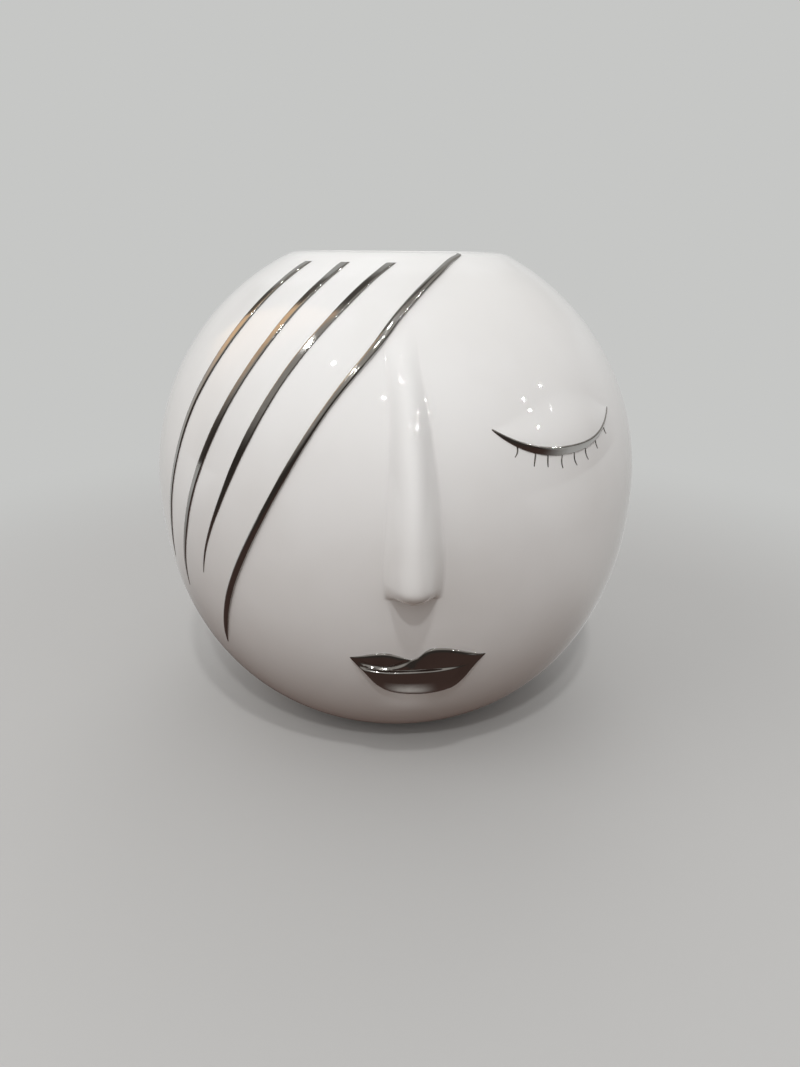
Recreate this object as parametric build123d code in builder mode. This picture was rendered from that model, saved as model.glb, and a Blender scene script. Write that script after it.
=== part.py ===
from build123d import *
import os
from math import asin, atan2, cos, degrees, radians, sin

# A globe vase with a relief face, in millimetres. The origin is the middle of the foot, on the surface
# that the vase stands on. The face looks along -Y. Azimuths are degrees from the middle of the face and
# grow towards +X, the side of the closed eye.
os.makedirs("parts", exist_ok=True)

# The globe, a slip-cast shell that is widest just over half its height
height = 250.0
belly_radius = 132.4
belly_height = 130.0
foot_radius = 64.0
foot_round = 2.5
shoulder_radius = 54.8
shoulder_round = 22.0
upper_power = 2.0
lower_power = 2.2

# The hollow, its mouth and the foot ring. A lip round takes no more than its share of the wall.
wall = 5.0
floor_thickness = 8.0
mouth_radius = 46.0
lip_round = 2.0
lip_round_limit_share = 0.4
foot_recess_depth = 3.0
foot_ring_width = 11.0

# Every relief is built down past the glaze line by this much, then cut away by the globe
bury = 0.8

# The nose, from between the brows to under its tip
nose_width = 27.0
nose_proud = 16.0

# The closed lid, and the silver crescent that is its lower edge
lid_depth = 25.0
lid_proud = 2.2
line_width = 4.0
line_proud = 1.8
line_tip_width = 0.7
line_inner_rise = 12.1
line_outer_rise = 13.1
lid_seam = 0.3

# The lashes that hang from the crescent
lash_length = 5.8
lash_width = 0.85
lash_proud = 0.3
lash_seam = 0.15

# The lips, parted by a crease
upper_lip_height = 10.0
lower_lip_height = 19.0
lip_proud = 4.2
lip_seam = 0.6

# The strands of hair: three low ones, and a fuller one in front that starts just under the rim
strand_width = 4.0
strand_proud = 0.8
strand_tip_width = 0.8
strand_top_drop = 4.5
front_strand_width = 4.3
front_strand_proud = 1.8
front_strand_top_drop = 1.0

# How finely the outline and the sections are drawn, and a length too short to see
outline_steps = 14
section_steps = 6
probe_share = 0.0005
probe = height * probe_share


def half_height(reach, end_radius, widest, power):
    """Height of the full curve that has narrowed to end_radius at this reach from its widest place."""
    return reach / (1 - (end_radius / widest) ** power) ** (1 / power)


def outline_radius(rise, widest, crown, keel):
    """Radius at a rise above the belly, or below it where the rise is negative."""
    full, power = (crown, upper_power) if rise > 0 else (keel, lower_power)
    return widest * (1 - abs(rise / full) ** power) ** (1 / power)


def outline_points(low, high, widest, crown, keel):
    """Points of an outline from one rise to another, evenly spread in angle about the belly."""
    first = asin(low / keel)
    last = asin(high / crown)
    angles = [first + (last - first) * step / outline_steps for step in range(outline_steps + 1)]
    rises = [sin(angle) * (crown if angle > 0 else keel) for angle in angles]
    return [(outline_radius(rise, widest, crown, keel), belly_height + rise) for rise in rises]


crown_height = half_height(height - belly_height, shoulder_radius, belly_radius, upper_power)
keel_height = half_height(belly_height, foot_radius, belly_radius, lower_power)

# The solid globe under the glaze, which also cuts the back of every relief
with BuildPart() as globe:
    with BuildSketch(Plane.XZ):
        with BuildLine():
            side = Spline(*outline_points(
                -belly_height, height - belly_height, belly_radius, crown_height, keel_height
            ))
            Line(side @ 1, (0, height))
            Line((0, height), (0, 0))
            Line((0, 0), side @ 0)
        make_face()
    revolve(axis=Axis.Z)
    rims = globe.edges().filter_by(GeomType.CIRCLE).sort_by(Axis.Z)
    fillet(rims[-1], shoulder_round)
    fillet(rims[0], foot_round)

hollow_radius = belly_radius - wall
hollow_top = height - wall
hollow_foot_radius = foot_radius - wall
hollow_crown = half_height(hollow_top - belly_height, mouth_radius, hollow_radius, upper_power)
hollow_keel = half_height(belly_height - floor_thickness, hollow_foot_radius, hollow_radius, lower_power)

with BuildPart() as vessel:
    add(globe.part)
    with BuildSketch(Plane.XZ):
        with BuildLine():
            inside = Spline(*outline_points(
                floor_thickness - belly_height, hollow_top - belly_height,
                hollow_radius, hollow_crown, hollow_keel,
            ))
            Line(inside @ 1, (mouth_radius, height))
            Line((mouth_radius, height), (0, height))
            Line((0, height), (0, floor_thickness))
            Line((0, floor_thickness), inside @ 0)
        make_face()
    revolve(axis=Axis.Z, mode=Mode.SUBTRACT)
    with BuildSketch(Plane.XY):
        Circle(foot_radius - foot_ring_width)
    extrude(amount=foot_recess_depth, mode=Mode.SUBTRACT)
    mouth_edges = vessel.edges().filter_by(GeomType.CIRCLE).filter_by(
        lambda edge: abs(edge.radius - mouth_radius) < probe
    )
    fillet(mouth_edges, min(lip_round, wall * lip_round_limit_share))

vessel.part.label = "vessel"
export_step(vessel.part, "parts/vessel.step")


def girth(z):
    """Radius of the glazed globe at a height."""
    return outline_radius(z - belly_height, belly_radius, crown_height, keel_height)


def seat(azimuth, z):
    """Point of the glazed globe at an azimuth and a height."""
    turn = radians(azimuth)
    return Vector(girth(z) * sin(turn), -girth(z) * cos(turn), z)


def outward(point):
    """Direction square to the globe at a point on it."""
    slope = (girth(point.Z + probe) - girth(point.Z - probe)) / (2 * probe)
    turn = atan2(point.X, -point.Y)
    return Vector(sin(turn), -cos(turn), -slope).normalized()


def on_globe(point):
    """The nearest seat to a point that lies close to the globe."""
    return seat(degrees(atan2(point.X, -point.Y)), point.Z)


def crowned_section(foot, other_foot, proud, fullness=2.0, lean=0.0):
    """Upright slice of a relief between two feet on the globe: a crowned top over a buried flat base.

    A fullness of 1 is a parabola and 2 an ellipse; lean moves the crown towards the second foot.
    """
    middle = (foot + other_foot) / 2
    up = outward(on_globe(middle))
    across = other_foot - foot
    across = (across - up * across.dot(up)).normalized()
    crown = (on_globe(middle) - middle).dot(up) + proud + bury
    reach = (1 - (bury / crown) ** fullness) ** (1 / 2)
    half_base = (other_foot - foot).length / 2 / reach
    top = []
    for step in range(section_steps + 1):
        turn = radians(180 * step / section_steps - 90)
        share = sin(turn)
        shift = lean * (reach ** 2 - share ** 2)
        top.append((half_base * (share + shift), crown * abs(cos(turn)) ** (2 / fullness) - bury))
    with BuildSketch(Plane(origin=middle, x_dir=across, z_dir=across.cross(up))) as section:
        with BuildLine():
            Spline(*top)
            Line(top[-1], top[0])
        make_face()
    return section.sketch


# The nose: rows of azimuth, height share, width share and proud share, from its top to under its tip
nose_shares = [
    (-3.7, 0.856, 0.30, 0.06),
    (-3.2, 0.824, 0.37, 0.14),
    (-2.5, 0.788, 0.44, 0.22),
    (-1.9, 0.744, 0.52, 0.32),
    (-1.4, 0.688, 0.61, 0.45),
    (-1.0, 0.624, 0.74, 0.61),
    (-0.8, 0.560, 0.85, 0.78),
    (-0.75, 0.512, 0.945, 0.92),
    (-0.7, 0.480, 1.00, 0.99),
    (-0.7, 0.464, 1.00, 0.95),
    (-0.7, 0.453, 0.98, 0.84),
    (-0.65, 0.446, 0.95, 0.66),
    (-0.65, 0.441, 0.90, 0.42),
    (-0.65, 0.438, 0.84, 0.20),
]
nose_fullness = 1.5
nose_sections = []
for azimuth, height_share, width_share, proud_share in nose_shares:
    z = height * height_share
    half_turn = degrees(nose_width * width_share / girth(z)) / 2
    nose_sections.append(crowned_section(
        seat(azimuth - half_turn, z), seat(azimuth + half_turn, z), nose_proud * proud_share, nose_fullness
    ))
with BuildPart() as nose:
    loft(nose_sections)
    add(globe.part, mode=Mode.SUBTRACT)

nose.part.label = "nose"
export_step(nose.part, "parts/nose.step")


# The crescent dips from both corners of the eye to a low place
line_inner_azimuth = 14.8
line_low_azimuth = 33.0
line_outer_azimuth = 51.3
line_low_share = 0.6730
line_low_height = height * line_low_share
line_climb_power = 2.4
line_taper_power = 0.7


def line_z(azimuth):
    """Height of the crescent's middle: it climbs from its low place to each corner by a power of the way."""
    inner = azimuth < line_low_azimuth
    corner, rise = (line_inner_azimuth, line_inner_rise) if inner else (line_outer_azimuth, line_outer_rise)
    way = abs((azimuth - line_low_azimuth) / (corner - line_low_azimuth))
    return line_low_height + rise * way ** line_climb_power


def line_lean(azimuth):
    """Slope angle of the crescent against the level, in radians."""
    step = (line_outer_azimuth - line_inner_azimuth) * probe_share
    climb = line_z(azimuth + step) - line_z(azimuth - step)
    return atan2(climb, radians(2 * step) * girth(line_z(azimuth)))


def line_half_width(azimuth):
    """Half the crescent's width, full at the middle of its run and slim at both corners."""
    middle = (line_inner_azimuth + line_outer_azimuth) / 2
    share = abs(azimuth - middle) / (line_outer_azimuth - middle)
    taper = max(0, 1 - share ** 2) ** line_taper_power
    return (line_tip_width + (line_width - line_tip_width) * taper) / 2


def line_edge(azimuth, gap):
    """How far up the globe the crescent's edge lies from its middle, with a gap beyond it."""
    return line_half_width(azimuth) / cos(line_lean(azimuth)) + gap


def strokes(places, widths, prouds, fullness=2.0):
    """Sections of a raised stroke along places on the globe, one for each place."""
    with BuildLine() as path:
        Spline(*places)
    run = path.line
    sections = []
    for step, (width, proud) in enumerate(zip(widths, prouds)):
        share = step / (len(widths) - 1)
        middle = on_globe(run @ share)
        across = (run % share).cross(outward(middle)).normalized()
        sections.append(crowned_section(
            middle - across * width / 2, middle + across * width / 2, proud, fullness
        ))
    return sections


# The crescent, slim at both corners of the eye
line_steps = 10
line_azimuths = [
    line_inner_azimuth + (line_outer_azimuth - line_inner_azimuth) * step / line_steps
    for step in range(line_steps + 1)
]
line_widths = [2 * line_half_width(azimuth) for azimuth in line_azimuths]
line_prouds = [line_proud * (width / line_width) ** line_taper_power for width in line_widths]
with BuildPart() as eyelid_line:
    loft(strokes([seat(azimuth, line_z(azimuth)) for azimuth in line_azimuths], line_widths, line_prouds))
    add(globe.part, mode=Mode.SUBTRACT)

eyelid_line.part.label = "eyelid_line"
export_step(eyelid_line.part, "parts/eyelid_line.step")


# The lid swells over the crescent and fades out upwards; rows of azimuth share and depth share
lid_shares = [
    (0.12, 0.34),
    (0.20, 0.56),
    (0.32, 0.82),
    (0.45, 0.97),
    (0.57, 1.00),
    (0.69, 0.90),
    (0.79, 0.70),
    (0.87, 0.44),
]
lid_fullness = 1.2
lid_lean = -0.45
lid_fade_power = 0.5
lid_sections = []
for azimuth_share, depth_share in lid_shares:
    azimuth = line_inner_azimuth + (line_outer_azimuth - line_inner_azimuth) * azimuth_share
    low = line_z(azimuth) + line_edge(azimuth, lid_seam)
    lid_sections.append(crowned_section(
        seat(azimuth, low), seat(azimuth, low + lid_depth * depth_share),
        lid_proud * depth_share ** lid_fade_power, lid_fullness, lid_lean,
    ))
with BuildPart() as eyelid:
    loft(lid_sections)
    add(globe.part, mode=Mode.SUBTRACT)

eyelid.part.label = "eyelid"
export_step(eyelid.part, "parts/eyelid.step")


# The lashes: rows of root azimuth, sweep of the tip, sideways bow, and length share
lash_shares = [
    (19.9, -0.7, 0.15, 0.76),
    (24.1, -0.7, -0.20, 0.94),
    (27.1, -0.3, -0.15, 0.88),
    (31.0, -0.3, -0.40, 1.00),
    (34.6, 0.3, -0.35, 1.02),
    (38.4, 0.4, -0.30, 0.96),
    (42.4, 0.4, -0.15, 0.74),
    (46.9, 0.6, -0.10, 0.66),
]
lash_width_shares = [1.0, 1.0, 0.9, 0.6]
for number, (azimuth, sweep, bow, length_share) in enumerate(lash_shares, start=1):
    root_z = line_z(azimuth) - line_edge(azimuth, lash_seam)
    drop = lash_length * length_share
    with BuildPart() as eyelash:
        loft(strokes(
            [
                seat(azimuth, root_z),
                seat(azimuth + sweep / 2 + bow, root_z - drop / 2),
                seat(azimuth + sweep, root_z - drop),
            ],
            [lash_width * width_share for width_share in lash_width_shares],
            [lash_proud for width_share in lash_width_shares],
        ))
        add(globe.part, mode=Mode.SUBTRACT)

    eyelash.part.label = f"eyelash_{number}"
    export_step(eyelash.part, f"parts/eyelash_{number}.step")


# The lips: rows of azimuth, crease height share, then the upper and the lower lip's shares of height and
# of how proud they stand
lip_shares = [
    (-13.2, 0.2945, 0.16, 0.05, 0.25, 0.16),
    (-12.0, 0.2868, 0.42, 0.07, 0.52, 0.36),
    (-9.8, 0.2826, 0.66, 0.40, 0.82, 0.64),
    (-7.3, 0.2801, 0.83, 0.72, 1.00, 0.84),
    (-4.6, 0.2792, 0.77, 0.88, 0.88, 0.96),
    (-1.8, 0.2798, 0.50, 0.96, 0.66, 1.00),
    (0.8, 0.2806, 0.63, 1.00, 0.82, 1.00),
    (3.4, 0.2814, 1.04, 1.00, 1.00, 1.00),
    (6.0, 0.2828, 0.98, 0.98, 1.00, 0.96),
    (8.8, 0.2851, 0.75, 0.91, 0.88, 0.85),
    (11.5, 0.2880, 0.46, 0.60, 0.66, 0.62),
    (13.8, 0.2923, 0.19, 0.15, 0.40, 0.30),
    (14.9, 0.2953, 0.12, 0.06, 0.24, 0.16),
]
lip_fullness = 1.6
lip_lean = 0.1
upper_sections = []
lower_sections = []
for azimuth, crease_share, upper_share, lower_share, upper_proud_share, lower_proud_share in lip_shares:
    crease = height * crease_share
    above = crease + lip_seam / 2
    below = crease - lip_seam / 2
    upper_sections.append(crowned_section(
        seat(azimuth, above), seat(azimuth, above + upper_lip_height * upper_share),
        lip_proud * upper_proud_share, lip_fullness, -lip_lean,
    ))
    lower_sections.append(crowned_section(
        seat(azimuth, below - lower_lip_height * lower_share), seat(azimuth, below),
        lip_proud * lower_proud_share, lip_fullness, lip_lean,
    ))
with BuildPart() as upper_lip:
    loft(upper_sections)
    add(globe.part, mode=Mode.SUBTRACT)

upper_lip.part.label = "upper_lip"
export_step(upper_lip.part, "parts/upper_lip.step")

with BuildPart() as lower_lip:
    loft(lower_sections)
    add(globe.part, mode=Mode.SUBTRACT)

lower_lip.part.label = "lower_lip"
export_step(lower_lip.part, "parts/lower_lip.step")


# The strands of hair, from above their cut tops down to their tips: rows of azimuth and height share
strand_shares = [
    [
        (-44.9, 0.990), (-47.6, 0.9527), (-50.4, 0.8893), (-53.1, 0.8136), (-56.0, 0.7289),
        (-58.5, 0.6362), (-61.4, 0.5408), (-64.4, 0.4461), (-66.0, 0.3985),
    ],
    [
        (-25.5, 0.990), (-32.6, 0.9257), (-37.8, 0.8499), (-42.5, 0.7618), (-46.9, 0.6642),
        (-51.4, 0.5621), (-56.0, 0.4585), (-58.2, 0.400), (-59.6, 0.3541),
    ],
    [
        (-4.6, 0.990), (-12.4, 0.9592), (-20.9, 0.9005), (-27.7, 0.8291), (-33.0, 0.7454),
        (-37.6, 0.6533), (-42.4, 0.5576), (-47.5, 0.4632), (-49.5, 0.4152),
    ],
    [
        (29.0, 1.002), (18.2, 0.984), (12.4, 0.9702), (4.5, 0.9434), (-1.1, 0.9157), (-8.5, 0.8575),
        (-14.5, 0.8013), (-22.7, 0.6965), (-30.4, 0.5699), (-38.3, 0.442), (-45.7, 0.3128), (-49.6, 0.249),
    ],
]
strand_steps = 14
strand_taper_power = 3
front_strand = len(strand_shares)
for number, places in enumerate(strand_shares, start=1):
    in_front = number == front_strand
    width = front_strand_width if in_front else strand_width
    proud = front_strand_proud if in_front else strand_proud
    top = height - (front_strand_top_drop if in_front else strand_top_drop)
    tapers = [1 - (step / strand_steps) ** strand_taper_power for step in range(strand_steps + 1)]
    widths = [strand_tip_width + (width - strand_tip_width) * taper for taper in tapers]
    with BuildPart() as hair_strand:
        loft(strokes(
            [seat(azimuth, height * height_share) for azimuth, height_share in places],
            widths,
            [proud * each / width for each in widths],
        ))
        add(globe.part, mode=Mode.SUBTRACT)
        split(bisect_by=Plane.XY.offset(top), keep=Keep.BOTTOM)

    hair_strand.part.label = f"hair_strand_{number}"
    export_step(hair_strand.part, f"parts/hair_strand_{number}.step")
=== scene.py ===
from math import cos, pi, radians, sin

import bpy
import numpy as np
from mathutils import Matrix, Vector


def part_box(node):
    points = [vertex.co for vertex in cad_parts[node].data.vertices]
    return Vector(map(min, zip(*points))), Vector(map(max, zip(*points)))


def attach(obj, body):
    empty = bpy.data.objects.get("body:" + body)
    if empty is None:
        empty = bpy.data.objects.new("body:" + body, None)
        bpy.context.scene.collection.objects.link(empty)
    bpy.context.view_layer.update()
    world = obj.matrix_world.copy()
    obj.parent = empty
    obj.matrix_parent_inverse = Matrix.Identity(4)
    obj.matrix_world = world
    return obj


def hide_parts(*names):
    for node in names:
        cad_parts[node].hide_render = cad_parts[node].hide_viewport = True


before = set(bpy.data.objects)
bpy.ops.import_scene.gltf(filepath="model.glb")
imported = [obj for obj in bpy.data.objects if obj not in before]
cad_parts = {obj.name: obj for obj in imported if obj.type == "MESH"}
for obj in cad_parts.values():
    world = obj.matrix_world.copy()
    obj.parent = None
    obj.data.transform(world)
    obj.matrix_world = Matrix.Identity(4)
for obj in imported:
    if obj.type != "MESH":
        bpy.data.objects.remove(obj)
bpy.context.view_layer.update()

# The globe: an earthenware shell, slip cast hollow in a plaster mould. Its shoulder rolls over
# into a flat rim round the mouth, and a turned ring under it is what it stands on. The face is
# cast with it.
mm = 0.001
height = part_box("vessel")[1][2]
belly_radius = 132.4 * mm
belly_height = 130 * mm
foot_radius = 64 * mm
shoulder_radius = 54.8 * mm
shoulder_round = 22 * mm
upper_power = 2.0
lower_power = 2.2
wall = 5 * mm
floor_thickness = 8 * mm
mouth_radius = 46 * mm
rim_round = 2 * mm
inside_round = 6 * mm
foot_round = 0.8 * mm
foot_recess = 3 * mm
foot_ring = 11 * mm
floor_rows, inside_rows, shoulder_rows, side_rows = 4, 24, 9, 226
innermost = 1 / 8
# Bands where rows lie closer: how much closer, then the middle and half the width of the band
inside_bands = [(2, floor_thickness + inside_round, 15 * mm), (1, height, 30 * mm)]
side_bands = [(0.4, 160 * mm, 70 * mm), (4.5, 112 * mm, 5 * mm), (1.2, 175 * mm, 14 * mm)]
probe = 0.05 * mm


def full_height(reach, end, widest, power):
    """Height of a whole curve that has narrowed from its widest radius to its end at a reach: the
    reach over the root, of a power, of one less the end's share to that power."""
    return reach / (1 - (end / widest) ** power) ** (1 / power)


outside = (
    belly_radius,
    full_height(height - belly_height, shoulder_radius, belly_radius, upper_power),
    full_height(belly_height, foot_radius, belly_radius, lower_power),
)
lining = belly_radius - wall
inside = (
    lining,
    full_height(height - wall - belly_height, mouth_radius, lining, upper_power),
    full_height(belly_height - floor_thickness, foot_radius - wall, lining, lower_power),
)


def outline(z, curve):
    """Radius at heights z: the widest radius, times the root, of a power, of one less the rise's
    share to that power."""
    widest, above, below = curve
    rise = z - belly_height
    power = np.where(rise > 0, upper_power, lower_power)
    share = np.abs(rise) / np.where(rise > 0, above, below)
    return widest * np.clip(1 - share ** power, 0, 1) ** (1 / power)


def shoulder_seat(steps=8001):
    """Where the shoulder's round leaves the outline, and how far its middle is from the axis.

    The middle lies one radius inside the outline, along its normal, and one radius under the rim.
    """
    heights = np.linspace(belly_height, height - probe, steps)
    lean = np.arctan(-np.gradient(outline(heights, outside), heights))
    middles = heights - shoulder_round * np.sin(lean)
    z = np.interp(height - shoulder_round, middles, heights)
    return z, float(outline(z, outside)) - shoulder_round * cos(np.interp(z, heights, lean))


shoulder_height, shoulder_middle = shoulder_seat()


def girth(z):
    """Radius of the glazed globe at heights z: its outline, and the circle of the shoulder over
    that."""
    over = np.maximum(shoulder_round ** 2 - (z - height + shoulder_round) ** 2, 0)
    return np.where(z > shoulder_height, shoulder_middle + np.sqrt(over), outline(z, outside))


def around(azimuth, radius, z):
    """Points at azimuths in degrees from the middle of the face, towards +X, and at radii and
    heights."""
    turn = np.radians(azimuth)
    x, y = radius * np.sin(turn), -radius * np.cos(turn)
    return np.stack(np.broadcast_arrays(x, y, z), axis=-1)


def seat(azimuth, z):
    """Points of the glazed globe at azimuths and heights."""
    return around(azimuth, girth(z), z)


def outward(azimuth, z):
    """Unit normals of the globe there: level part one, rising part the negative slope of its
    radius."""
    slope = (girth(z + probe) - girth(z - probe)) / (2 * probe)
    normal = around(azimuth, 1.0, -slope)
    return normal / np.linalg.norm(normal, axis=-1, keepdims=True)


def hump(x, middle, half, power=4):
    """One at the middle, falling to nothing past half either way: e to the negative share to a
    power."""
    return np.exp(-np.abs((x - middle) / half) ** power)


def spread(low, high, count, bands, weight=None, steps=20001):
    """Places from low to high. How close they lie is one, more by an amount times the hump of
    each band, and times a weight that follows the place."""
    fine = np.linspace(low, high, steps)
    closeness = sum((more * hump(fine, *band) for more, *band in bands), 1)
    if weight is not None:
        closeness = weight(fine) * closeness
    share = np.cumsum(closeness)
    return np.interp(np.linspace(share[0], share[-1], count), share, fine)


def soft_corner(start, corner, end, count=6):
    """Points of a parabola that leaves the start for the corner and reaches the end from it."""
    t = np.linspace(0, 1, count)[:, None]
    start, corner, end = np.array(start), np.array(corner), np.array(end)
    return (1 - t) ** 2 * start + 2 * t * (1 - t) * corner + t ** 2 * end


def globe_profile():
    """Radii and heights from the middle of the floor inside, over the rim, and down the side to
    the middle of the foot.

    Gives the rows, and which of them are the outer side, where the relief of the face is.
    """
    hollow_foot = foot_radius - wall
    corner = hollow_foot - inside_round
    wall_low = floor_thickness + inside_round
    wall_high = height - wall - rim_round
    base = np.linspace(corner * innermost, corner, floor_rows)[:-1]
    inner = spread(wall_low, wall_high, inside_rows, inside_bands)
    hollow = [
        np.stack([base, 0 * base + floor_thickness], axis=1),
        soft_corner(
            (corner, floor_thickness), (hollow_foot, floor_thickness),
            (outline(wall_low, inside), wall_low),
        ),
        np.stack([outline(inner, inside), inner], axis=1)[1:-1],
        soft_corner(
            (outline(wall_high, inside), wall_high), (mouth_radius, height - wall),
            (mouth_radius, height - wall + rim_round / 2),
        ),
        soft_corner(
            (mouth_radius, height - rim_round), (mouth_radius, height),
            (mouth_radius + rim_round, height),
        ),
    ]
    start = np.arccos((girth(shoulder_height) - shoulder_middle) / shoulder_round)
    turns = np.linspace(pi / 2, start, shoulder_rows)
    shoulder = np.stack([
        shoulder_middle + shoulder_round * np.cos(turns),
        height - shoulder_round + shoulder_round * np.sin(turns),
    ], axis=1)
    z = spread(
        foot_round, shoulder_height, side_rows, side_bands,
        weight=lambda z: np.hypot(1, np.gradient(outline(z, outside), z)),
    )[::-1]
    side = np.stack([outline(z, outside), z], axis=1)
    ring = foot_radius - foot_ring
    recess = np.linspace(ring * (1 - innermost), ring * innermost, floor_rows)
    under = [
        soft_corner(side[-1], (foot_radius, 0), (foot_radius - foot_round, 0)),
        soft_corner((ring + foot_round, 0), (ring, 0), (ring, foot_round)),
        soft_corner(
            (ring, foot_recess - foot_round), (ring, foot_recess),
            (ring - foot_round, foot_recess),
        ),
        np.stack([recess, 0 * recess + foot_recess], axis=1),
    ]
    before = np.concatenate(hollow + [shoulder])
    rows = np.concatenate([before, side[1:-1]] + under)
    cast = np.zeros(len(rows), bool)
    cast[len(before):len(before) + len(side) - 2] = True
    return rows, cast


# The nose: a long low ridge that starts between the brows, widens and rises to a round tip, and
# turns under. It is cast with the globe, so the glaze runs over its foot in a soft hollow.
nose_width = 29.5 * mm
nose_proud = 16 * mm
nose_under = 109.2 * mm
nose_turn = 119 * mm
nose_drop = 1.5 * mm
nose_run_out = 1.5
# Rows of height share, azimuth, width share, proud share, and how square its section is
nose_shares = np.array([
    (0.420, -1.05, 0.90, 1.00, 2.2),
    (0.460, -1.10, 0.92, 1.00, 2.2),
    (0.480, -1.10, 0.93, 0.985, 2.2),
    (0.512, -1.10, 0.92, 0.91, 2.15),
    (0.560, -1.15, 0.86, 0.78, 2.1),
    (0.624, -1.30, 0.76, 0.61, 2.05),
    (0.688, -1.60, 0.67, 0.45, 2.0),
    (0.744, -1.90, 0.59, 0.32, 2.0),
    (0.788, -2.50, 0.54, 0.21, 2.0),
    (0.824, -3.20, 0.51, 0.12, 2.0),
    (0.856, -3.70, 0.50, 0.045, 2.0),
    (0.880, -4.00, 0.49, 0.005, 2.0),
    (0.900, -4.20, 0.48, 0.0, 2.0),
])


def smooth(at, places, values):
    """A natural cubic through values at rising places: its slope and its bend carry over from
    span to span."""
    places, values = np.asarray(places, float), np.asarray(values, float)
    at = np.clip(at, places[0], places[-1])
    gaps = np.diff(places)
    middle = np.arange(1, len(places) - 1)
    matrix = np.eye(len(places))
    matrix[middle, middle - 1] = gaps[:-1]
    matrix[middle, middle] = 2 * (gaps[:-1] + gaps[1:])
    matrix[middle, middle + 1] = gaps[1:]
    sides = np.zeros(len(places))
    sides[1:-1] = 6 * np.diff(np.diff(values) / gaps)
    bends = np.linalg.solve(matrix, sides)
    span = np.clip(np.searchsorted(places, at) - 1, 0, len(gaps) - 1)
    ahead, behind, gap = places[span + 1] - at, at - places[span], gaps[span]
    cubic = (bends[span] * ahead ** 3 + bends[span + 1] * behind ** 3) / (6 * gap)
    line = (values[span] / gap - bends[span] * gap / 6) * ahead
    return cubic + line + (values[span + 1] / gap - bends[span + 1] * gap / 6) * behind


def nose_relief(azimuth, z):
    """How far the nose stands out: its proud height, times one less a power of the share across,
    to a power over one, so that its foot runs out level. Under the tip it is also times a
    quarter of an ellipse, which lies lower and softens to both sides."""
    middle, width, proud, square = (
        smooth(z / height, nose_shares[:, 0], column) for column in nose_shares.T[1:]
    )
    across = np.abs(np.radians(azimuth - middle) * girth(z) / (nose_width * width / 2))
    across = np.minimum(across, 1)
    turn = nose_turn - nose_drop * across ** 2
    under = np.clip((turn - z) / (nose_turn - nose_under), 0, 1)
    section = (1 - across ** square) ** nose_run_out
    turned = (1 - under ** 2) ** (0.5 + across ** 2)
    return nose_proud * np.maximum(proud, 0) * section * turned


# The closed lid: a low swelling of the globe over the eye. It is fullest just above its lower
# edge, where it drops back to the cheek, and dies away upwards.
lid_depth = 25 * mm
lid_proud = 2.2 * mm
# The proud share at the edge, its gain with the share above that, the half widths of the edge
# over which the lid steps down, and the least depth share that it divides by
lid_brim, lid_swell, lid_step, least_depth = 0.9, 2.6, 1.4, 0.05
# Azimuths of the edge's inner corner, of its lowest place and of its outer corner
line_inner, line_low, line_outer = 14.8, 33.0, 51.3
line_low_height = height * 0.6730
line_inner_rise = 12.1 * mm
line_outer_rise = 13.1 * mm
line_power = 2.4
line_width = 4.0 * mm
line_tip_width = 0.6 * mm
line_taper_power = 0.7
# Rows of the share of the way from the inner to the outer corner, and the depth share there
lid_shares = np.array([
    (0.0, 0.0), (0.12, 0.36), (0.20, 0.58), (0.32, 0.83), (0.45, 0.97),
    (0.57, 1.0), (0.69, 0.91), (0.79, 0.72), (0.87, 0.48), (1.0, 0.0),
])


def line_height(azimuth):
    """Height of the lid's edge: its rise from its low place to each corner is a power of the
    share of the way."""
    inner = azimuth < line_low
    corner = np.where(inner, line_inner, line_outer)
    rise = np.where(inner, line_inner_rise, line_outer_rise)
    share = np.abs((azimuth - line_low) / (corner - line_low))
    return line_low_height + rise * share ** line_power


def line_half_width(azimuth):
    """Half the width of the lid's silver edge: full in the middle of its run, and slim at both
    corners by a power of one less the square of the share of the way from the middle."""
    share = (2 * azimuth - line_inner - line_outer) / (line_outer - line_inner)
    taper = np.maximum(1 - share ** 2, 0) ** line_taper_power
    return (line_tip_width + (line_width - line_tip_width) * taper) / 2


def lid_size(azimuth):
    """The lid's depth share at azimuths, and how far it stands out along its edge, which follows
    its depth."""
    share = (azimuth - line_inner) / (line_outer - line_inner)
    depth = smooth(share, lid_shares[:, 0], lid_shares[:, 1])
    return depth, lid_proud * np.maximum(depth, 0)


def lid_relief(azimuth, z):
    """How far the lid stands out: fullest near its edge, with a square fall to nothing at its
    depth above, and a smooth step down under its silver edge."""
    depth, proud = lid_size(azimuth)
    over = z - line_height(azimuth)
    above = np.clip(over / (lid_depth * np.maximum(depth, least_depth)), 0, 1)
    edge = np.clip(over / line_half_width(azimuth) / lid_step + 0.5, 0, 1)
    swell = (1 - above) ** 2 * (lid_brim + lid_swell * above)
    inside_eye = (azimuth > line_inner) & (azimuth < line_outer)
    return np.where(inside_eye, proud * swell * edge ** 2 * (3 - 2 * edge), 0)


# The casting: the globe with its nose and lid is one piece of clay, dipped in a white tin glaze
# inside and out, and wiped bare on the ring that it stands on.
column_count = 333
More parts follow.
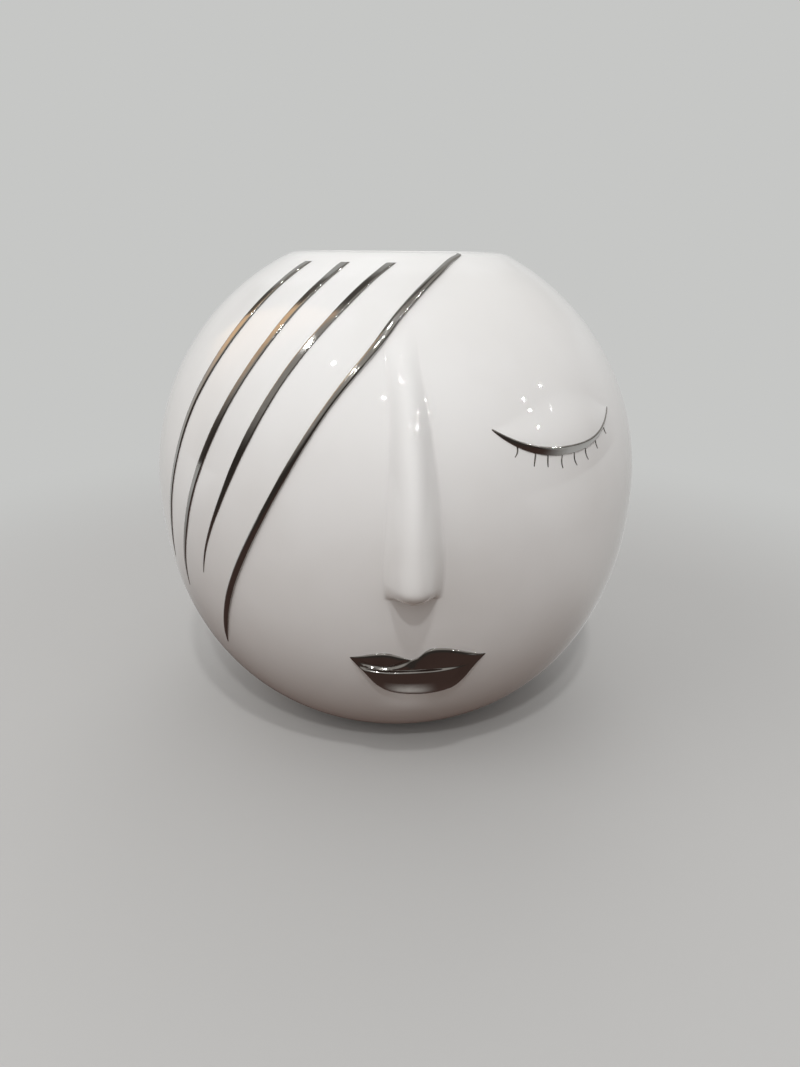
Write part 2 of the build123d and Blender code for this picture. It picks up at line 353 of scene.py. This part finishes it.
# Bands of azimuth where columns lie closer: the face, the nose and the eye
column_bands = [(0.8, -10, 70), (4.5, -0.8, 9.0, 6), (2.2, 33, 22, 6)]
globe_columns = spread(-180, 180, column_count, column_bands)[:-1]
sharp_fold = radians(50)
glaze_white, glaze_thin = (0.87, 0.863, 0.85), (0.82, 0.808, 0.79)
clay_dark, clay_pale = (0.66, 0.58, 0.48), (0.78, 0.71, 0.62)
cloud_size, cloud_range = 70 * mm, (0.35, 0.7)
smear_size = 25 * mm
peel_size, sag_size, sag_share, peel_depth = 14 * mm, 45 * mm, 3.0, 0.03 * mm
clay_grain = 1.5 * mm
bare_low, bare_high = 0.5 * mm, 0.9 * mm
bare_waver, waver_size = 0.5 * mm, 6 * mm
glaze_roughness, smear_roughness, clay_roughness = 0.02, 0.03, 0.75


def shell(name, rings):
    """A closed mesh of rings of points: each ring closes on itself and joins the next with
    four-sided faces, and the first and the last close on their middles. The sign of its volume
    turns its faces outwards."""
    count, sides = rings.shape[:2]
    middles = [rings[:1].mean(axis=1), rings[-1:].mean(axis=1)]
    points = np.concatenate([rings.reshape(-1, 3), *middles])
    here = np.arange(count * sides).reshape(count, sides)
    beside = np.roll(here, -1, axis=1)
    quads = np.stack([here[:-1], beside[:-1], beside[1:], here[1:]], axis=-1).reshape(-1, 4)
    first = np.stack([beside[0], here[0], np.full(sides, count * sides)], axis=-1)
    last = np.stack([here[-1], beside[-1], np.full(sides, count * sides + 1)], axis=-1)
    threes = np.concatenate([quads[:, [0, 1, 2]], quads[:, [0, 2, 3]], first, last])
    a, b, c = np.moveaxis(points[threes], 1, 0)
    turn = slice(None, None, 1 if np.einsum("ij,ij->", a, np.cross(b, c)) > 0 else -1)
    faces = quads[:, turn].tolist() + first[:, turn].tolist() + last[:, turn].tolist()
    mesh = bpy.data.meshes.new(name)
    mesh.from_pydata(points, [], faces, shade_flat=False)
    mesh.set_sharp_from_angle(angle=sharp_fold)
    piece = bpy.data.objects.new(name, mesh)
    bpy.context.scene.collection.objects.link(piece)
    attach(piece, "root")
    return piece


class Field:
    """A value or a colour over a surface: a socket of a material, whose sums and products are
    Math nodes."""

    def __init__(self, tree, socket=None):
        self.tree = tree
        self.socket = socket

    def node(self, kind, settings, values, output=0):
        """A new node of a kind, with its settings, then its sockets' values or links, and one
        output."""
        made = self.tree.nodes.new("ShaderNode" + kind)
        for setting, value in settings.items():
            setattr(made, setting, value)
        for place, value in values.items():
            if isinstance(value, Field):
                self.tree.links.new(value.socket, made.inputs[place])
            else:
                made.inputs[place].default_value = value
        return Field(self.tree, made.outputs[output])

    def math(self, operation, *terms):
        """The result of one Math node on these terms."""
        return self.node("Math", {"operation": operation}, dict(enumerate(terms)))

    def __add__(self, other):
        return self.math("ADD", self, other)

    __radd__ = __add__

    def __sub__(self, other):
        return self.math("SUBTRACT", self, other)

    def __rsub__(self, other):
        return self.math("SUBTRACT", other, self)

    def __mul__(self, other):
        return self.math("MULTIPLY", self, other)

    __rmul__ = __mul__

    def between(self, low, high):
        """Nothing below low, one above high, and a smooth step from one to the other."""
        values = {"Value": self, "From Min": low, "From Max": high}
        return self.node("MapRange", {"interpolation_type": "SMOOTHSTEP"}, values)

    def noise(self, size, detail=2.0):
        """Noise over these coordinates, with features of about this size."""
        return self.node("TexNoise", {}, {"Vector": self, "Scale": 1 / size, "Detail": detail})

    def bump(self, distance):
        """The normal of a surface that this raises by up to a distance."""
        return self.node("Bump", {}, {"Strength": 1.0, "Distance": distance, "Height": self})

    def tint(self, *colours):
        """The first colour where this is nothing, and the second where it is one.

        A Mix node's two colours are its sockets 6 and 7, and their mix is its output 2.
        """
        first, second = (
            colour if isinstance(colour, Field) else (*colour, 1) for colour in colours
        )
        return self.node("Mix", {"data_type": "RGBA"}, {0: self, 6: first, 7: second}, 2)


def new_finish(name, **constants):
    """A new material, its Principled shader with these constant values, and its Object
    coordinates."""
    material = bpy.data.materials.new(name)
    material.use_nodes = True
    surface = material.node_tree.nodes["Principled BSDF"]
    for socket, value in constants.items():
        surface.inputs[socket.replace("_", " ")].default_value = value
    return material, surface, Field(material.node_tree).node("TexCoord", {}, {}, "Object")


def feed(surface, **fields):
    """Link fields to the sockets of a shader, by name."""
    for socket, field in fields.items():
        field.tree.links.new(field.socket, surface.inputs[socket.replace("_", " ")])


def white_glaze():
    """Tin glaze: white with a faint warm cloud where it ran thin, glassy, and never quite level.
    The ring under the foot is bare clay."""
    material, surface, place = new_finish("white_glaze", IOR=1.52)
    cloud = place.noise(cloud_size, detail=3.0).between(*cloud_range)
    level = place.node("SeparateXYZ", {}, {0: place}, "Z")
    waver = place.noise(waver_size) * bare_waver
    bare = 1 - (level + waver).between(bare_low, bare_high)
    clay = place.noise(clay_grain, detail=4.0).tint(clay_dark, clay_pale)
    peel = place.noise(peel_size, detail=1.0)
    sag = place.noise(sag_size, detail=1.0) * sag_share
    smear = place.noise(smear_size) * smear_roughness
    feed(
        surface,
        Base_Color=bare.tint(cloud.tint(glaze_white, glaze_thin), clay),
        Roughness=glaze_roughness + smear + bare * clay_roughness,
        Normal=(peel + sag).bump(peel_depth),
    )
    return material


def glazed_casting():
    """The profile turned about the axis, with the relief of the face laid on along the globe's
    normals."""
    rows, cast = globe_profile()
    rings = around(globe_columns[None], rows[:, :1], rows[:, 1:])
    side = rows[cast, 1:]
    relief = nose_relief(globe_columns[None], side) + lid_relief(globe_columns[None], side)
    rings[cast] += relief[..., None] * outward(globe_columns[None], side + 0 * relief)
    return shell("glazed_globe", rings)


globe = glazed_casting()
globe.data.materials.append(white_glaze())
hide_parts("vessel", "nose", "eyelid")

# The silver edge of the lid: a slim roll of clay along the lid's lower edge, painted with a
# silver lustre over the fired glaze. It swells to the middle of the eye and runs out to a point
# at both corners.
line_crown = 0.9 * mm
line_crown_power = 0.8
line_square = 3.0
line_lift = 0.9
line_rows = 121
stroke_bury = 0.6 * mm
stroke_sides = 28
cut_reach = 6
lustre_bright, lustre_dull = (0.50, 0.49, 0.475), (0.43, 0.415, 0.395)
patch_size, patch_range = 12 * mm, (0.4, 0.75)
ripple_size, brush_size, brush_share, ripple_depth = 4 * mm, 1.2 * mm, 0.15, 0.04 * mm
lustre_roughness, patch_roughness = 0.09, 0.09


def stroke(name, path, half_width, proud, square=2.0, lift=0.0, sides=stroke_sides, level=None):
    """A raised stroke along places on the globe: the root of one less the share across to a
    power, over a shallow buried half ellipse.

    path holds azimuths and heights along the stroke, half_width and proud follow it, and lift
    raises its left side, seen along it, by a smooth step. level cuts its first end at that
    height, by a pull along the stroke that fades within some half widths.
    """
    azimuth, z = path
    middle, up = seat(azimuth, z), outward(azimuth, z)
    ahead = np.gradient(middle, axis=0)
    ahead /= np.linalg.norm(ahead, axis=1, keepdims=True)
    left = np.cross(up, ahead)
    turn = np.linspace(0, 2 * pi, sides, endpoint=False)[None]
    across = -np.cos(turn)
    front = np.sin(turn) > 0
    crown = proud[:, None] * np.maximum(1 - np.abs(across) ** square, 0) ** 0.5
    raised = np.asarray(lift)[..., None] * (1 - across) ** 2 * (2 + across) / 4
    rise = np.where(front, crown + raised, stroke_bury * np.sin(turn) + 0 * crown)
    aside = half_width[:, None] * -across
    rings = middle[:, None] + left[:, None] * aside[..., None] + up[:, None] * rise[..., None]
    if level is not None:
        reach = np.linalg.norm(middle - middle[0], axis=1)
        pull = np.clip(1 - reach / (cut_reach * half_width[0]), 0, 1)[:, None]
        drop = (z[:, None] - (z[0] - level) * pull - rings[..., 2]) * pull
        rings = rings + ahead[:, None] * (drop / ahead[:, None, 2])[..., None]
    return shell(name, rings)


def silver_lustre():
    """Silver lustre: a thin bright metal, a little warmer and duller in patches, over brush
    marks."""
    material, surface, place = new_finish("silver_lustre", Metallic=1.0)
    patch = place.noise(patch_size, detail=3.0).between(*patch_range)
    ripple = place.noise(ripple_size) + place.noise(brush_size, detail=1.0) * brush_share
    feed(
        surface,
        Base_Color=patch.tint(lustre_bright, lustre_dull),
        Roughness=lustre_roughness + patch * patch_roughness,
        Normal=ripple.bump(ripple_depth),
    )
    return material


silver = silver_lustre()


def silvered(piece, *nodes):
    """Give a piece its lustre, and hide the parts of these nodes, whose place it takes."""
    piece.data.materials.append(silver)
    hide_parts(*nodes)


eye = np.linspace(line_inner, line_outer, line_rows)
eye_width = line_half_width(eye)
silvered(stroke(
    "lid_edge", (eye, line_height(eye)), eye_width,
    line_crown * (2 * eye_width / line_width) ** line_crown_power,
    square=line_square, lift=line_lift * lid_size(eye)[1],
), "eyelid_line")

# The lashes: eight short strokes of the same lustre, drawn with a fine brush from the lid's edge
# down on to the cheek. Each thins to its tip, and most bow a little before they turn out.
lash_length = 5.8 * mm
lash_width = 0.85 * mm
lash_proud = 0.3 * mm
lash_overlap = 0.4 * mm
lash_taper = 0.4
lash_rows, lash_sides = 25, 12
# Rows of the root's azimuth, the sweep of the tip, the sideways bow, and the length share
lash_shares = [
    (19.9, -0.7, 0.15, 0.76),
    (24.1, -0.7, -0.20, 0.94),
    (27.1, -0.3, -0.15, 0.88),
    (31.0, -0.3, -0.40, 1.00),
    (34.6, 0.3, -0.35, 1.02),
    (38.4, 0.4, -0.30, 0.96),
    (42.4, 0.4, -0.15, 0.74),
    (46.9, 0.6, -0.10, 0.66),
]
for number, (root, sweep, bow, length_share) in enumerate(lash_shares, start=1):
    t = np.linspace(0, 1, lash_rows)
    root_height = line_height(root) - line_half_width(root) + lash_overlap
    path = (
        root + sweep * t ** 2 + 4 * bow * t * (1 - t),
        root_height - lash_length * length_share * t,
    )
    silvered(stroke(
        f"lash_{number}", path, lash_width / 2 * (1 - lash_taper * t ** 2),
        lash_proud * (1 - lash_taper * t), sides=lash_sides,
    ), f"eyelash_{number}")

# The lips: two lobes over a full lower lip, modelled on the globe and covered all over with the
# lustre. The crease between them is deep on one side and runs out on the other.
lip_proud = 4.2 * mm
lip_bury = 0.8 * mm
lip_sink = 0.05 * mm
upper_square, lower_square = 10.0, 2.6
upper_thinning = 0.72
lower_start, lower_full = 0.8, 1 / 3
crease_half, hollow_half, fold_half = 0.9 * mm, 2.4 * mm, 0.9 * mm
crease_depth, hollow_depth, fold_depth, deepest = 0.42, 0.18, 0.46, 0.75
lip_columns, lip_rows, lip_back_rows = 170, 73, 11
# Rows of azimuth, then shares of the height: the lower outline, the mouth's crease, the fold
# under the left lobe and the upper outline; then how proud the lips stand, how full the upper
# lobe is, and how deep the crease and the fold are
lip_shares = np.array([
    (-13.9, 0.2994, 0.2999, 0.3003, 0.3007, 0.05, 0.95, 0.30, 0.00),
    (-13.0, 0.2898, 0.2935, 0.2981, 0.3026, 0.34, 0.97, 0.54, 0.24),
    (-12.0, 0.2801, 0.2869, 0.2959, 0.3047, 0.52, 1.00, 0.80, 0.50),
    (-10.8, 0.2660, 0.2830, 0.2933, 0.3078, 0.70, 1.00, 1.00, 0.90),
    (-9.3, 0.2430, 0.2810, 0.2913, 0.3114, 0.84, 1.00, 1.00, 1.00),
    (-7.5, 0.2251, 0.2800, 0.2897, 0.3144, 0.93, 1.00, 1.00, 1.00),
    (-5.7, 0.2146, 0.2792, 0.2894, 0.3140, 0.97, 0.94, 1.00, 1.00),
    (-4.0, 0.2092, 0.2794, 0.2921, 0.3096, 1.00, 0.84, 1.00, 1.00),
    (-2.6, 0.2063, 0.2797, 0.2958, 0.3045, 1.00, 0.72, 1.00, 1.00),
    (-1.6, 0.2052, 0.2799, 0.2990, 0.3002, 1.00, 0.64, 1.00, 0.90),
    (-0.9, 0.2046, 0.2801, 0.3015, 0.2990, 1.00, 0.60, 1.00, 0.75),
    (-0.2, 0.2042, 0.2803, 0.3050, 0.3010, 1.00, 0.62, 1.00, 0.50),
    (0.6, 0.2037, 0.2806, 0.3090, 0.3050, 1.00, 0.78, 1.00, 0.20),
    (1.4, 0.2032, 0.2808, 0.3110, 0.3126, 1.00, 0.94, 1.00, 0.00),
    (2.2, 0.2031, 0.2810, 0.3110, 0.3197, 1.00, 1.02, 1.00, 0.00),
    (3.3, 0.2038, 0.2813, 0.3110, 0.3241, 1.00, 1.06, 1.00, 0.00),
    (5.4, 0.2059, 0.2823, 0.3110, 0.3241, 0.98, 1.04, 0.85, 0.00),
    (7.9, 0.2111, 0.2843, 0.3110, 0.3193, 0.92, 1.02, 0.60, 0.00),
    (10.2, 0.2240, 0.2866, 0.3110, 0.3119, 0.80, 1.00, 0.35, 0.00),
    (11.6, 0.2428, 0.2881, 0.3110, 0.3074, 0.68, 1.00, 0.24, 0.00),
    (12.8, 0.2636, 0.2903, 0.3110, 0.3035, 0.52, 1.00, 0.15, 0.00),
    (13.9, 0.2803, 0.2926, 0.3110, 0.3009, 0.36, 1.00, 0.09, 0.00),
    (15.5, 0.2955, 0.2966, 0.3110, 0.2977, 0.05, 1.00, 0.00, 0.00),
])
# Bands where its columns lie closer, at both corners, and its rows, at both outlines and crease
lip_column_bands = [(2, corner, 2) for corner in lip_shares[[0, -1], 0]]
lip_row_bands = [(3, place, 0.12) for place in (-1, 0, 1)]


def lips():
    """One crowned pillow between its outlines, less its grooves, over a buried back.

    The pillow is the root of one less the share across to a power. The upper lip thins from the
    crease to its outline, and the lower one starts a little flatter. A groove is a hump about
    its line: a narrow one in a broad one at the crease, and one at the fold.
    """
    azimuth = spread(*lip_shares[[0, -1], 0], lip_columns, lip_column_bands)
    bottom, crease, fold, top, proud, lobe, parting, folding = (
        smooth(azimuth, lip_shares[:, 0], column)[:, None] for column in lip_shares.T[1:]
    )
    front = spread(-1, 1, lip_rows, lip_row_bands)
    back = np.linspace(1, -1, lip_back_rows)[1:-1]
    share = np.concatenate([front, back])[None]
    upper = share > 0
    z = height * (crease + np.where(upper, top - crease, crease - bottom) * share)
    square = np.where(upper, upper_square, lower_square)
    crown = np.sqrt(np.maximum(1 - np.abs(share) ** square, 0))
    flatter = lower_start + (1 - lower_start) * np.minimum(-share / lower_full, 1)
    crown = crown * np.where(upper, 1 - upper_thinning * share, flatter)
    lobed = 1 - (1 - lobe) * share ** 2 * (3 - 2 * np.abs(share))
    over = z - height * crease
    dip = folding * fold_depth * hump(z, height * fold, fold_half) + parting * (
        crease_depth * hump(over, 0, crease_half) + hollow_depth * hump(over, 0, hollow_half, 2)
    )
    crown = crown * np.where(upper, lobed, 1)
    pillow = lip_proud * proud * crown * (1 - np.minimum(dip, deepest))
    buried = np.arange(share.size) >= len(front)
    rise = np.where(buried, -lip_bury * np.sqrt(1 - share ** 2), pillow)
    place = azimuth[:, None] + 0 * share
    return shell("lips", seat(place, z) + outward(place, z) * (rise - lip_sink)[..., None])


silvered(lips(), "upper_lip", "lower_lip")

# The hair: four strands sweep from the top of the head to the cheek. Three are low ridges, cut
# level just under the rim; the one in front is a fuller bead that starts at the rim's edge. All
# are covered with lustre.
strand_width = 4.0 * mm
strand_proud = 0.8 * mm
front_proud = 1.8 * mm
strand_square, front_square = 9.0, 3.0
strand_drop = 4.5 * mm
strand_rows = 260
strand_bands = [(2, 0, 0.04), (3, 1, 0.06)]
# The start of a strand lies lower by a share that fades over a share of its length
start_drop, start_reach = 0.5, 0.03
# Two wavers of the width: the share, how fast it goes down the strand, and its shift
wavers = [(0.02, 31, 1), (0.015, 67, 2)]
# Rows of azimuth and height share, from the top down
strand_shares = [
    [
        (-44.9, 0.990), (-47.6, 0.9527), (-50.4, 0.8893), (-53.1, 0.8136), (-56.0, 0.7289),
        (-58.5, 0.6362), (-61.4, 0.5408), (-64.4, 0.4461), (-66.0, 0.3985),
    ],
    [
        (-25.5, 0.990), (-29.4, 0.9574), (-32.6, 0.9257), (-37.8, 0.8499), (-42.5, 0.7618),
        (-46.9, 0.6642), (-51.4, 0.5621), (-56.0, 0.4585), (-58.1, 0.4067), (-59.6, 0.3541),
    ],
    [
        (-4.6, 0.990), (-12.4, 0.9592), (-20.9, 0.9005), (-27.7, 0.8291), (-33.0, 0.7454),
        (-37.6, 0.6533), (-42.4, 0.5576), (-47.5, 0.4632), (-49.5, 0.4152),
    ],
    [
        (26.3, 0.996), (18.2, 0.984), (12.4, 0.9702), (4.5, 0.9434), (-1.1, 0.9157),
        (-5.3, 0.8872), (-8.5, 0.8575), (-14.5, 0.8013), (-18.5, 0.7561), (-22.7, 0.6965),
        (-30.4, 0.5699), (-38.3, 0.442), (-42.1, 0.3772), (-45.7, 0.3128), (-49.6, 0.249),
    ],
]
# Rows of the share of the way down, and the shares of each strand's width there
width_shares = np.array([
    (0.00, 0.98, 1.08, 0.92, 0.62),
    (0.05, 1.00, 1.05, 0.92, 0.84),
    (0.10, 1.02, 1.02, 0.93, 0.93),
    (0.20, 1.06, 0.95, 1.00, 1.06),
    (0.26, 1.13, 0.95, 0.95, 1.10),
    (0.33, 1.16, 0.93, 0.90, 0.97),
    (0.42, 1.06, 0.92, 0.92, 0.82),
    (0.52, 0.96, 1.00, 0.95, 0.86),
    (0.62, 0.84, 0.95, 0.97, 0.91),
    (0.72, 0.74, 0.84, 0.78, 0.94),
    (0.82, 0.63, 0.72, 0.54, 0.94),
    (0.90, 0.50, 0.54, 0.38, 0.80),
    (0.96, 0.32, 0.34, 0.26, 0.50),
    (1.00, 0.12, 0.12, 0.12, 0.14),
])
for number, places in enumerate(strand_shares, start=1):
    in_front = number == len(strand_shares)
    azimuths, heights = np.array(places).T
    spans = np.linalg.norm(np.diff(seat(azimuths, heights * height), axis=0), axis=1)
    lengths = np.concatenate([[0], np.cumsum(spans)]) / spans.sum()
    t = spread(0, 1, strand_rows, strand_bands)
    path = [smooth(t, lengths, values) for values in (azimuths, heights * height)]
    widths = smooth(t, width_shares[:, 0], width_shares[:, number])
    waver = sum((share * np.sin(pace * t + shift * number) for share, pace, shift in wavers), 1)
    proud = (front_proud if in_front else strand_proud) * np.minimum(widths, 1)
    silvered(stroke(
        f"strand_{number}", path, strand_width / 2 * widths * waver,
        proud * (1 - start_drop * hump(t, 0, start_reach, 2)),
        square=front_square if in_front else strand_square,
        level=None if in_front else height - strand_drop,
    ), f"hair_strand_{number}")

# The stage: a pale floor that fades into a pale wall, under a soft even light, with two lamps
# over the face, a broad one to its left and one behind. Small lamps on the ceiling only show in
# mirrors, which see a dark room in front of the vase and a pale one behind it.
wall_colour = (0.565, 0.57, 0.56)
floor_colour = (0.50, 0.495, 0.485)
bounce_colour = (0.135, 0.085, 0.06)
dark_room = (0.045, 0.038, 0.033)
front_floor = (0.070, 0.044, 0.037)
near_floor = (0.5, 0.47, 0.45)
high_room = (0.40, 0.38, 0.355)
dark_beam = (0.10, 0.09, 0.08)
warm_card = (1.15, 0.79, 0.49)
level_light, top_light = (0.48, 0.48, 0.48), (0.655, 0.655, 0.655)
floor_radius, floor_sides = 6, 96
# Distances over which the floor fades: to the wall for the camera, to the dark room for mirrors,
# in and out of its near band, across that band, and from in front of the vase to behind it
wall_fade, room_fade = (0.24, 0.6), (0.3, 0.8)
near_in, near_out, near_side = (0.090, 0.110), (0.112, 0.140), (0.0, 0.025)
behind_fade, behind_slant = (-0.05, 0.20), 0.8
# The card's edge is a plane through the vase with this normal; the rest are shares of a
# direction's way past it, up, to the right or back, over which a part of the room fades in
card_edge = (0.777, 0.585, 0.228)
card_fade, card_rim, card_back = (-0.62, -0.10), (-0.03, 0.02), (0.0, 0.15)
beam_back, beam_right = (0.06, 0.16), (0.2, 0.4)
high_fade = (0.15, 0.60)
ceiling_fade, ceiling_lean = (1.15, 1.20), 0.85
back_wall, back_wall_top = (0.2, 0.6), (0.25, 0.5)


def seen_by(field, ray):
    """One for rays of this kind, as the Light Path tells them apart, and nothing for others."""
    return field.node("LightPath", {}, {}, f"Is {ray} Ray")


def floor():
    """A round floor, diffuse near the vase and fading to the colour of the wall far from it. It
    throws back a darker and warmer light than it shows. A mirror sees it pale behind the vase
    and dark in front, but for a pale band close under the face."""
    turn = np.linspace(0, 2 * pi, floor_sides, endpoint=False)
    mesh = bpy.data.meshes.new("floor")
    rim = np.stack([floor_radius * np.cos(turn), floor_radius * np.sin(turn), 0 * turn], axis=1)
    mesh.from_pydata(rim, [], [list(range(floor_sides))])
    ground = bpy.data.objects.new("floor", mesh)
    bpy.context.scene.collection.objects.link(ground)
    material, surface, place = new_finish("floor", Roughness=0.6)
    feed(surface, Base_Color=seen_by(place, "Diffuse").tint(floor_colour, bounce_colour))
    reach = place.node("VectorMath", {"operation": "LENGTH"}, {0: place}, "Value")
    far = reach.between(*wall_fade) * seen_by(place, "Camera") + seen_by(place, "Glossy")
    right, back = (place.node("SeparateXYZ", {}, {0: place}, axis) for axis in "XY")
    slanted = right.math("MAXIMUM", right, 0) * behind_slant
    behind = (back + slanted).between(*behind_fade)
    near = reach.between(*near_in) * (1 - reach.between(*near_out))
    near = near * (1 - right.math("ABSOLUTE", right).between(*near_side))
    front = near.tint(reach.between(*room_fade).tint(front_floor, dark_room), near_floor)
    colour = seen_by(place, "Camera").tint(behind.tint(front, wall_colour), wall_colour)
    glow = place.node("Emission", {}, {"Color": colour, "Strength": 1.0})
    diffuse = Field(place.tree, surface.outputs[0])
    mixed = place.node("MixShader", {}, {0: far, 1: diffuse, 2: glow})
    place.tree.links.new(mixed.socket, place.tree.nodes["Material Output"].inputs["Surface"])
    mesh.materials.append(material)


def sky():
    """The room: the camera sees the pale wall, and a soft even light comes from all of it, more
    from above. A mirror sees the wall and the ceiling behind the vase, a warm card with an edge,
    a dark beam past that edge, and the dark room in front, paler high up."""
    world = bpy.data.worlds.new("studio")
    world.use_nodes = True
    bpy.context.scene.world = world
    root = Field(world.node_tree)
    way = root.node("TexCoord", {}, {}, "Generated")
    right, back, up = (root.node("SeparateXYZ", {}, {0: way}, axis) for axis in "XYZ")
    past = way.node("VectorMath", {"operation": "DOT_PRODUCT"}, {0: way, 1: card_edge}, "Value")
    edge = past.between(*card_rim)
    beam = edge * back.between(*beam_back) * (1 - right.between(*beam_right))
    room = beam.tint(up.between(*high_fade).tint(dark_room, high_room), dark_beam)
    warm = past.between(*card_fade) * (1 - edge) * back.between(*card_back)
    room = warm.tint(room, warm_card)
    ceiling = (back + up * ceiling_lean).between(*ceiling_fade)
    pale = ceiling + back.between(*back_wall) * (1 - up.between(*back_wall_top))
    room = pale.tint(room, wall_colour)
    light = up.between(0, 1).tint(level_light, top_light)
    colour = seen_by(root, "Camera").tint(seen_by(root, "Glossy").tint(light, room), wall_colour)
    world.node_tree.links.new(colour.socket, world.node_tree.nodes["Background"].inputs["Color"])


def lamp(name, azimuth, elevation, distance, size, power, mirrored):
    """A round lamp that looks at the middle of the vase from a direction and a distance. It
    either lights the vase or only shows in its mirrors."""
    data = bpy.data.lights.new(name, "AREA")
    data.shape = "DISK"
    data.size = size
    data.energy = power
    turn, rise = radians(azimuth), radians(elevation)
    toward = Vector((sin(turn) * cos(rise), -cos(turn) * cos(rise), sin(rise)))
    place = Vector((0, 0, height / 2)) + toward * distance
    turned = toward.to_track_quat("Z", "Y").to_matrix().to_4x4()
    light = bpy.data.objects.new(name, data)
    light.matrix_world = Matrix.Translation(place) @ turned
    light.visible_glossy = mirrored
    light.visible_diffuse = not mirrored
    bpy.context.scene.collection.objects.link(light)


floor()
sky()
# Rows of azimuth and elevation, distance, width and power, and whether it only shows in mirrors
lamps = {
    "key": (-5, 45.5, 1.9, 0.10, 6.2, False),
    "high_key": (-2, 57, 1.9, 0.10, 6.4, False),
    "left": (-70, 35, 2.2, 1.6, 9, False),
    "behind": (165, 45, 2.2, 1.4, 6, False),
    "ceiling_1": (-52, 56, 2.2, 0.070, 1.5, True),
    "ceiling_2": (-7, 77, 2.2, 0.044, 1.8, True),
    "ceiling_3": (-12, 66, 2.2, 0.044, 1.8, True),
    "ceiling_4": (6, 66, 2.2, 0.044, 1.8, True),
    "ceiling_5": (-12, 46, 2.2, 0.044, 1.8, True),
    "ceiling_6": (80, 33, 2.2, 0.044, 1.8, True),
    "ceiling_7": (66, 33, 2.2, 0.044, 1.8, True),
    "ceiling_8": (-78, 56, 2.2, 0.044, 1.8, True),
}
for name, row in lamps.items():
    lamp(name, *row)
scene = bpy.context.scene
scene.view_settings.view_transform = "Standard"

# The camera: a phone's wide lens, level with the rim and a little to the left of the face. It
# is turned to the vase, looks down on it by 20 degrees, and leans by half a degree.
focal_pixels = 770
frame_pixels = 1067
sensor_height = 36
camera_place = (-33.75 * mm, -434.13 * mm, 252.43 * mm)
camera_turn, camera_dip, camera_lean = radians(-4.8), radians(20.45), 0.010
camera_data = bpy.data.cameras.new("camera")
camera_data.sensor_fit = "VERTICAL"
camera_data.sensor_height = sensor_height
camera_data.lens = sensor_height * focal_pixels / frame_pixels
camera = bpy.data.objects.new("camera", camera_data)
camera.matrix_world = (
    Matrix.Translation(camera_place)
    @ Matrix.Rotation(camera_turn, 4, "Z")
    @ Matrix.Rotation(pi / 2 - camera_dip, 4, "X")
    @ Matrix.Rotation(camera_lean, 4, "Z")
)
scene.collection.objects.link(camera)
scene.camera = camera
